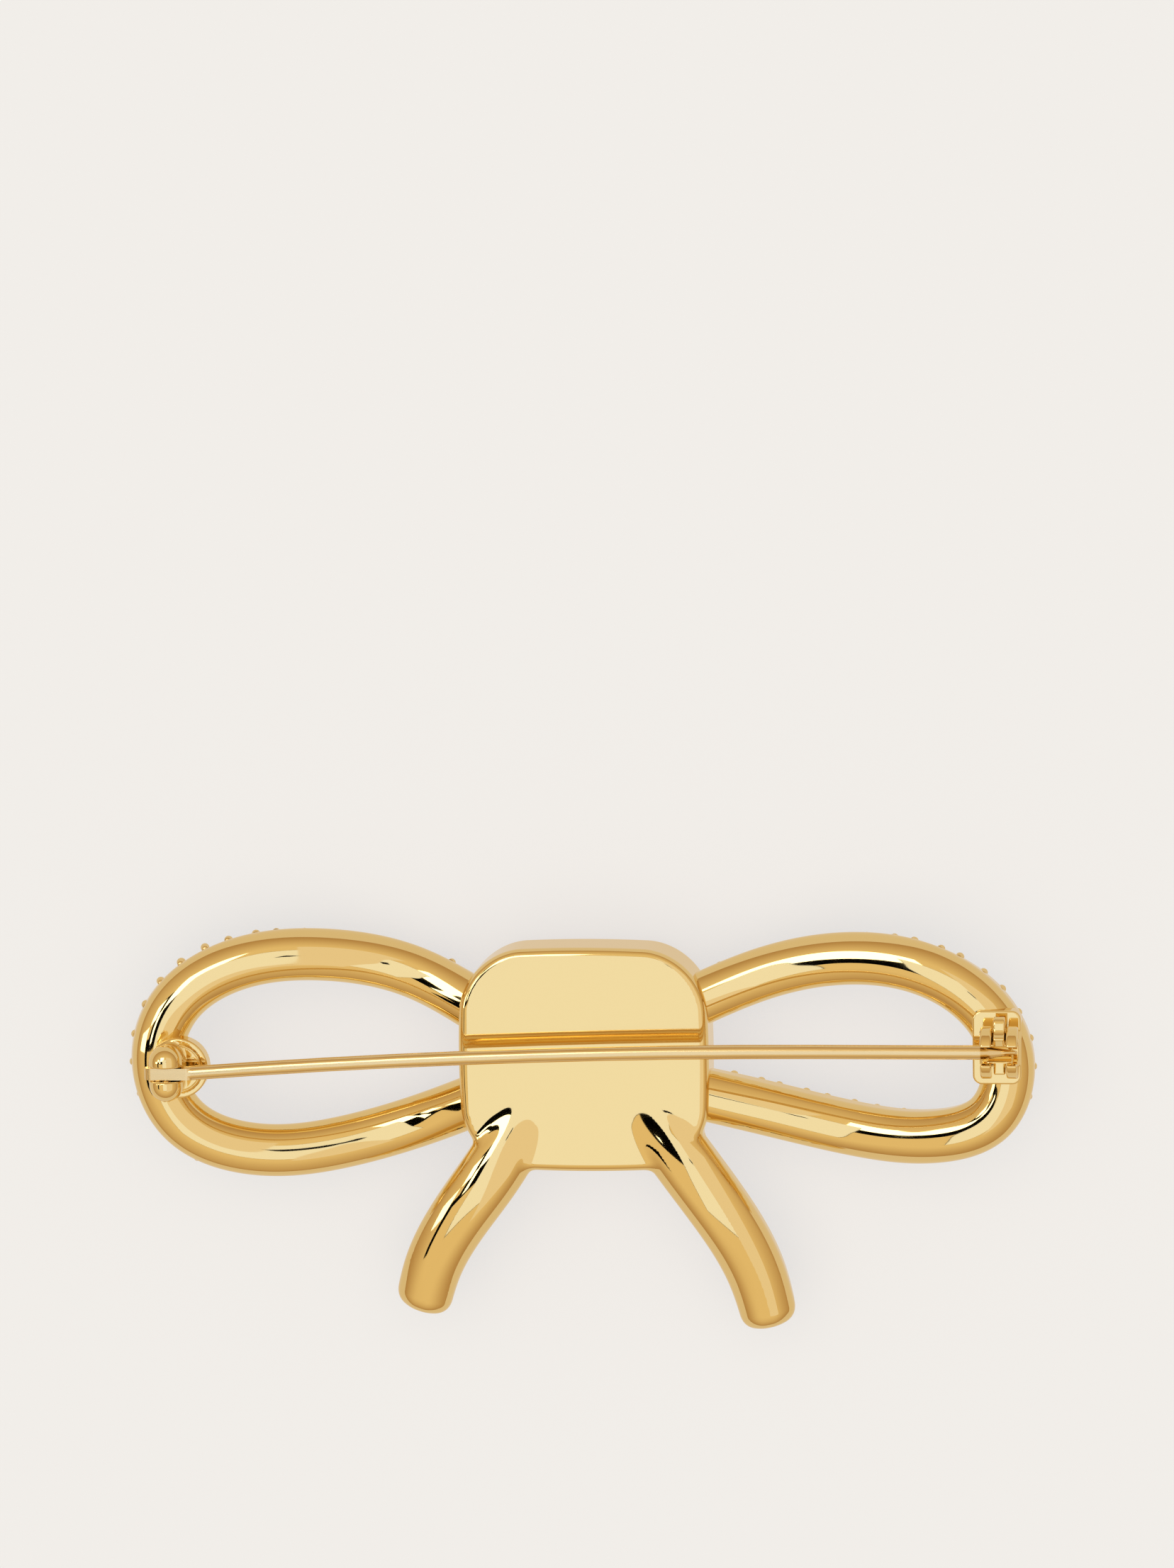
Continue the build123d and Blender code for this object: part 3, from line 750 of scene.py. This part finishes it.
# The pin joint is a stamped disc soldered to the left loop's end, with a domed knuckle on it, slotted
# across for the pin's tab and drilled for the rivet.
JOINT_X = -31.9
JOINT_Y = -0.4
PIN_LEVEL = 10.6
FITTING_FOOT = 7.2
FITTING_TOP = 8.6
JOINT_BASE_X = -31.35
JOINT_BASE_RADIUS = 2.35
JOINT_STEP_RADIUS = 1.82
KNUCKLE_RADIUS = 1.32
KNUCKLE_DOME = 0.88
NECK_RADIUS = 0.95
NECK_DOME = 1.0
SLOT_HALF = 0.53
BORE_RADIUS = 0.34
BORE_EDGE = 0.08
GROOVE_RADIUS = 0.09
GROOVE_EDGE = 0.06
NECK_FILLET = 0.3
DISC_FILLET = 0.35
STAMPED_EDGE = 0.16
JOINT_BOX = ((-34.2, -3.1, 6.9), (-28.7, 2.3, 12.3))
FITTING_CELL = 0.085


def joint_distance(points):
    """Distance outside the grooved disc and its knuckle, a round-ended bar on a neck, less slot and bore."""
    x, y, z = points.T
    across = np.hypot(x - JOINT_BASE_X, y - JOINT_Y)
    disc = round_edge(across - JOINT_BASE_RADIUS, z - FITTING_TOP, STAMPED_EDGE)
    groove = np.hypot(across - JOINT_STEP_RADIUS, z - FITTING_TOP) - GROOVE_RADIUS
    disc = soft_max(disc, -groove, GROOVE_EDGE)
    disc = np.maximum(disc, FITTING_FOOT - z)
    x = x - JOINT_X
    y = np.abs(y - JOINT_Y)
    z = z - PIN_LEVEL
    barrel = np.sqrt(x ** 2 + np.maximum(y - KNUCKLE_DOME, 0) ** 2 + z ** 2) - KNUCKLE_RADIUS
    neck = np.maximum(np.hypot(x, np.maximum(y - NECK_DOME, 0)) - NECK_RADIUS, z)
    knuckle = soft_join(barrel, neck, NECK_FILLET)
    body = soft_join(knuckle, disc, DISC_FILLET)
    slot = np.maximum(y - SLOT_HALF, FITTING_TOP - PIN_LEVEL - z)
    body = soft_max(body, -slot, STAMPED_EDGE)
    return soft_max(body, BORE_RADIUS - np.hypot(x, z), BORE_EDGE)


def make_fitting(name, distance, box, body):
    """A small polished piece: the surface of its distance in gold, which rides on a body."""
    fitting = link_object(name, casting_mesh(name, distance, box, FITTING_CELL))
    fitting.data.materials.append(GOLD)
    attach(fitting, body)
    return fitting


joint = make_fitting("pin_joint", joint_distance, JOINT_BOX, "bow")
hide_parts("bow_frame")
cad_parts["joint_rivet"].data.materials.clear()
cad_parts["joint_rivet"].data.materials.append(GOLD)


# The safety catch is a small plate with two slotted ears, in the same plated brass. Its C-shaped lever
# turns in their bores, open for the pin as it stands here, and closes over the pin when it is turned.
CATCH_X = 32.25
CATCH_Y = 1.45
PLATE_X = 31.95
PLATE_HALF = (1.85, 2.85)
PLATE_CORNER = 0.7
EAR_RADIUS = 1.98
EAR_MIDDLE = 0.985
EAR_HALF = 0.435
EAR_FOOT_HALF = 1.3
EAR_FILLET = 0.5
EAR_BORE = 1.02
EAR_BORE_EDGE = 0.1
PLATE_FILLET = 0.25
GATE_HALF = 0.67
GATE_EDGE = 0.2
CATCH_BOX = ((29.8, -1.7, 6.9), (34.1, 4.6, 12.9))
HUB_RADIUS = 0.92
HUB_HALF = 0.985
WEB_RADIUS = 1.72
WEB_HALF = 0.45
LEVER_HOLE = 0.65
LEVER_TAB_END = 2.75
LEVER_TAB_HALF = 0.6
LEVER_TAB_FILLET = 0.4
LEVER_OPENING = (math.radians(46), math.radians(176))
HUB_EDGE = 0.1
WEB_EDGE = 0.12
LEVER_BOX = ((30.9, -0.6, 8.6), (33.5, 4.5, 12.6))


def catch_distance(points):
    """Distance outside the plate and the two ears: discs with a foot, less the bore and the gate above it."""
    x, y, z = points.T
    past_end = np.abs(x - PLATE_X) - PLATE_HALF[0]
    past_side = np.abs(y - CATCH_Y) - PLATE_HALF[1]
    outline = round_edge(past_end, past_side, PLATE_CORNER)
    plate = np.maximum(round_edge(outline, z - FITTING_TOP, STAMPED_EDGE), FITTING_FOOT - z)
    x = np.abs(np.abs(x - CATCH_X) - EAR_MIDDLE)
    y = np.abs(y - CATCH_Y)
    z = z - PIN_LEVEL
    across = np.hypot(y, z)
    ear = soft_join(across - EAR_RADIUS, np.maximum(y - EAR_FOOT_HALF, z), EAR_FILLET)
    ear = round_edge(ear, x - EAR_HALF, STAMPED_EDGE)
    body = soft_join(plate, ear, PLATE_FILLET)
    body = soft_max(body, EAR_BORE - across, EAR_BORE_EDGE)
    gate = np.maximum(y - GATE_HALF, -z)
    return soft_max(body, -gate, GATE_EDGE)


def lever_distance(points):
    """Distance outside the lever: a hub and a web with a finger tab, less the pin's hole and the opening."""
    x = np.abs(points[:, 0] - CATCH_X)
    u = points[:, 1] - CATCH_Y
    v = points[:, 2] - PIN_LEVEL
    across = np.hypot(u, v)
    hub = round_edge(across - HUB_RADIUS, x - HUB_HALF, HUB_EDGE)
    tab = np.hypot(np.maximum(u - LEVER_TAB_END + LEVER_TAB_HALF, 0), v) - LEVER_TAB_HALF
    tab = np.maximum(tab, -u)
    web = round_edge(soft_join(across - WEB_RADIUS, tab, LEVER_TAB_FILLET), x - WEB_HALF, WEB_EDGE)
    body = soft_max(soft_join(hub, web, HUB_EDGE), LEVER_HOLE - across, HUB_EDGE)
    first, last = LEVER_OPENING
    opening = np.maximum(math.sin(first) * u - math.cos(first) * v, math.cos(last) * v - math.sin(last) * u)
    return soft_max(body, -opening, GATE_EDGE)


catch = make_fitting("safety_catch", catch_distance, CATCH_BOX, "bow")
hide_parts("bow_frame")
lever = make_fitting("catch_turning_lever", lever_distance, LEVER_BOX, "lever")
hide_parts("catch_lever")


# The pin is drawn spring wire, gold plated. The die leaves fine lines along it, a sixth of a millimetre
# apart here so that they show, which draw its shine out.
WIRE_HEX = "#e9d09a"
WIRE_ROUGHNESS = (0.12, 0.24)
WIRE_LINES_PER_METRE = (120.0, 6000.0, 6000.0)
WIRE_RELIEF = 0.00002
WIRE_RELIEF_STRENGTH = 0.25


def drawn_wire():
    """A plated wire, whose roughness and relief follow noise stretched fifty times along it."""
    material, tree = new_material("drawn_gold_wire")
    place = add_node(tree, "ShaderNodeTexCoord")
    stretched = add_node(tree, "ShaderNodeMapping", {"Scale": WIRE_LINES_PER_METRE},
                         {"Vector": place.outputs["Object"]})
    lines = add_node(tree, "ShaderNodeTexNoise", {"Scale": 1.0}, {"Vector": stretched.outputs[0]})
    spread = add_node(tree, "ShaderNodeMapRange", {"To Min": WIRE_ROUGHNESS[0], "To Max": WIRE_ROUGHNESS[1]},
                      {"Value": lines.outputs[0]})
    relief = add_node(tree, "ShaderNodeBump", {"Strength": WIRE_RELIEF_STRENGTH, "Distance": WIRE_RELIEF},
                      {"Height": lines.outputs[0]})
    wire = add_node(tree, "ShaderNodeBsdfPrincipled", {"Base Color": linear(WIRE_HEX), "Metallic": 1.0},
                    {"Roughness": spread.outputs[0], "Normal": relief.outputs[0]})
    add_node(tree, "ShaderNodeOutputMaterial", links={"Surface": wire.outputs[0]})
    return material


pin_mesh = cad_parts["pin_stem"].data
pin_mesh.materials.clear()
pin_mesh.materials.append(drawn_wire())
